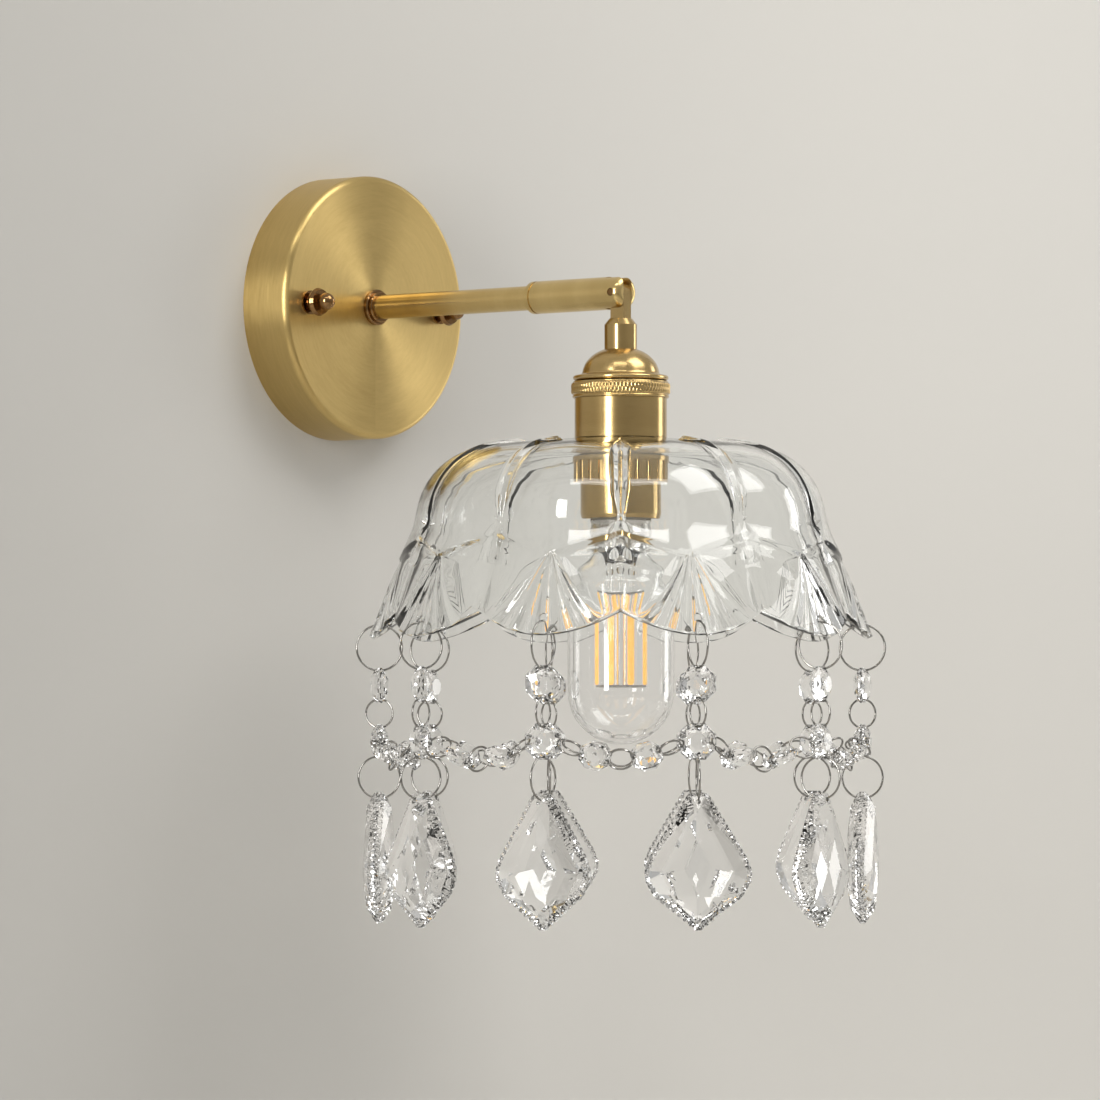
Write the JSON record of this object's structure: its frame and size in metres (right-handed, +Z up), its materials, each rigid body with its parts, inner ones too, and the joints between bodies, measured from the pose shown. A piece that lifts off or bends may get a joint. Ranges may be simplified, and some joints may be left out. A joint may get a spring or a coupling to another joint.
{
  "type": "wall sconce",
  "caption": "Wall lamp with a round brass backplate, a straight arm, a tilting lamp holder, a scalloped pressed-glass shade and hanging crystal strands.",
  "frame": {"origin": "Middle of the mounting bracket's back, on the wall plane, in line with the arm.", "axes": "+Y into the wall, so the arm runs out along -Y. +Z up. +X to the right for someone who looks at the wall."},
  "size_m": [0.2178, 0.2772, 0.3236],
  "materials": {
    "brushed_brass": "spun, radially brushed, lacquered",
    "satin_brass": "turned and satin polished",
    "polished_brass": "polished",
    "steel": "zinc plated",
    "ceramic": "glazed white",
    "shade_glass": "clear pressed glass",
    "crystal": "clear cut crystal",
    "ring_wire": "bright plated wire",
    "bulb_glass": "clear blown glass",
    "bulb_metal": "nickel plated",
    "bulb_insulator": "black glass with a solder tip",
    "filament": "amber phosphor coat, unlit"
  },
  "bodies": {
    "wall_fixture": {"mounting_bracket": "steel", "bracket_studs": "steel", "stud_nuts": "steel", "earth_screw": "steel", "terminal_block": "ceramic", "backplate": "brushed_brass", "cap_nuts": "polished_brass", "arm_collar": "polished_brass", "arm_tube": "satin_brass", "arm_lock_washer": "steel", "arm_lock_nut": "steel", "arm_sleeve": "satin_brass", "pivot_pin": "polished_brass"},
    "lamp_head": {"swivel_tongue": "satin_brass", "socket_cap": "satin_brass", "knurled_ring": "satin_brass", "socket_shell": "satin_brass", "socket_insulator": "ceramic", "screw_shell": "polished_brass", "centre_contact": "polished_brass", "shade_ring": "satin_brass", "glass_shade": "shade_glass", "hanger_rings": "ring_wire", "upper_beads": "crystal", "link_rings": "ring_wire", "junction_beads": "crystal", "swag_rings": "ring_wire", "swag_beads": "crystal"},
    "bulb": {"bulb_contact": "bulb_insulator", "bulb_base": "bulb_metal", "bulb_envelope": "bulb_glass", "bulb_stem": "bulb_glass", "led_filaments": "filament", "filament_support": "bulb_metal"},
    "pendant_drop_01": {"pendant_01": "crystal", "pendant_ring_01": "ring_wire"},
    "pendant_drop_02": {"pendant_02": "crystal", "pendant_ring_02": "ring_wire"},
    "pendant_drop_03": {"pendant_03": "crystal", "pendant_ring_03": "ring_wire"},
    "pendant_drop_04": {"pendant_04": "crystal", "pendant_ring_04": "ring_wire"},
    "pendant_drop_05": {"pendant_05": "crystal", "pendant_ring_05": "ring_wire"},
    "pendant_drop_06": {"pendant_06": "crystal", "pendant_ring_06": "ring_wire"},
    "pendant_drop_07": {"pendant_07": "crystal", "pendant_ring_07": "ring_wire"},
    "pendant_drop_08": {"pendant_08": "crystal", "pendant_ring_08": "ring_wire"},
    "pendant_drop_09": {"pendant_09": "crystal", "pendant_ring_09": "ring_wire"},
    "pendant_drop_10": {"pendant_10": "crystal", "pendant_ring_10": "ring_wire"}
  },
  "joints": [
    {"name": "head_tilt", "type": "hinge", "parent": "wall_fixture", "child": "lamp_head", "pos_m": [0, -0.1655, 0], "axis": [1, 0, 0], "range_deg": [-90, 15]},
    {"name": "bulb_unscrew", "type": "slide", "parent": "lamp_head", "child": "bulb", "axis": [0, 0, -1], "range_m": [0, 0.03]},
    {"name": "pendant_swing_01", "type": "hinge", "parent": "lamp_head", "child": "pendant_drop_01", "pos_m": [0.09441, -0.12697, -0.19539], "axis": [0.9259, 0.3778, 0], "range_deg": [-20, 20]},
    {"name": "pendant_swing_02", "type": "hinge", "parent": "lamp_head", "child": "pendant_drop_02", "pos_m": [0.05373, -0.07884, -0.19539], "axis": [0.527, 0.8499, 0], "range_deg": [-20, 20]},
    {"name": "pendant_swing_03", "type": "hinge", "parent": "lamp_head", "child": "pendant_drop_03", "pos_m": [-0.00747, -0.06381, -0.19539], "axis": [-0.0732, 0.9973, 0], "range_deg": [-20, 20]},
    {"name": "pendant_swing_04", "type": "hinge", "parent": "lamp_head", "child": "pendant_drop_04", "pos_m": [-0.06581, -0.08762, -0.19539], "axis": [-0.6455, 0.7638, 0], "range_deg": [-20, 20]},
    {"name": "pendant_swing_05", "type": "hinge", "parent": "lamp_head", "child": "pendant_drop_05", "pos_m": [-0.09902, -0.14118, -0.19539], "axis": [-0.9711, 0.2385, 0], "range_deg": [-20, 20]},
    {"name": "pendant_swing_06", "type": "hinge", "parent": "lamp_head", "child": "pendant_drop_06", "pos_m": [-0.09441, -0.20403, -0.19539], "axis": [-0.9259, -0.3778, 0], "range_deg": [-20, 20]},
    {"name": "pendant_swing_07", "type": "hinge", "parent": "lamp_head", "child": "pendant_drop_07", "pos_m": [-0.05373, -0.25216, -0.19539], "axis": [-0.527, -0.8499, 0], "range_deg": [-20, 20]},
    {"name": "pendant_swing_08", "type": "hinge", "parent": "lamp_head", "child": "pendant_drop_08", "pos_m": [0.00747, -0.26719, -0.19539], "axis": [0.0732, -0.9973, 0], "range_deg": [-20, 20]},
    {"name": "pendant_swing_09", "type": "hinge", "parent": "lamp_head", "child": "pendant_drop_09", "pos_m": [0.06581, -0.24338, -0.19539], "axis": [0.6455, -0.7638, 0], "range_deg": [-20, 20]},
    {"name": "pendant_swing_10", "type": "hinge", "parent": "lamp_head", "child": "pendant_drop_10", "pos_m": [0.09902, -0.18982, -0.19539], "axis": [0.9711, -0.2385, 0], "range_deg": [-20, 20]}
  ]
}
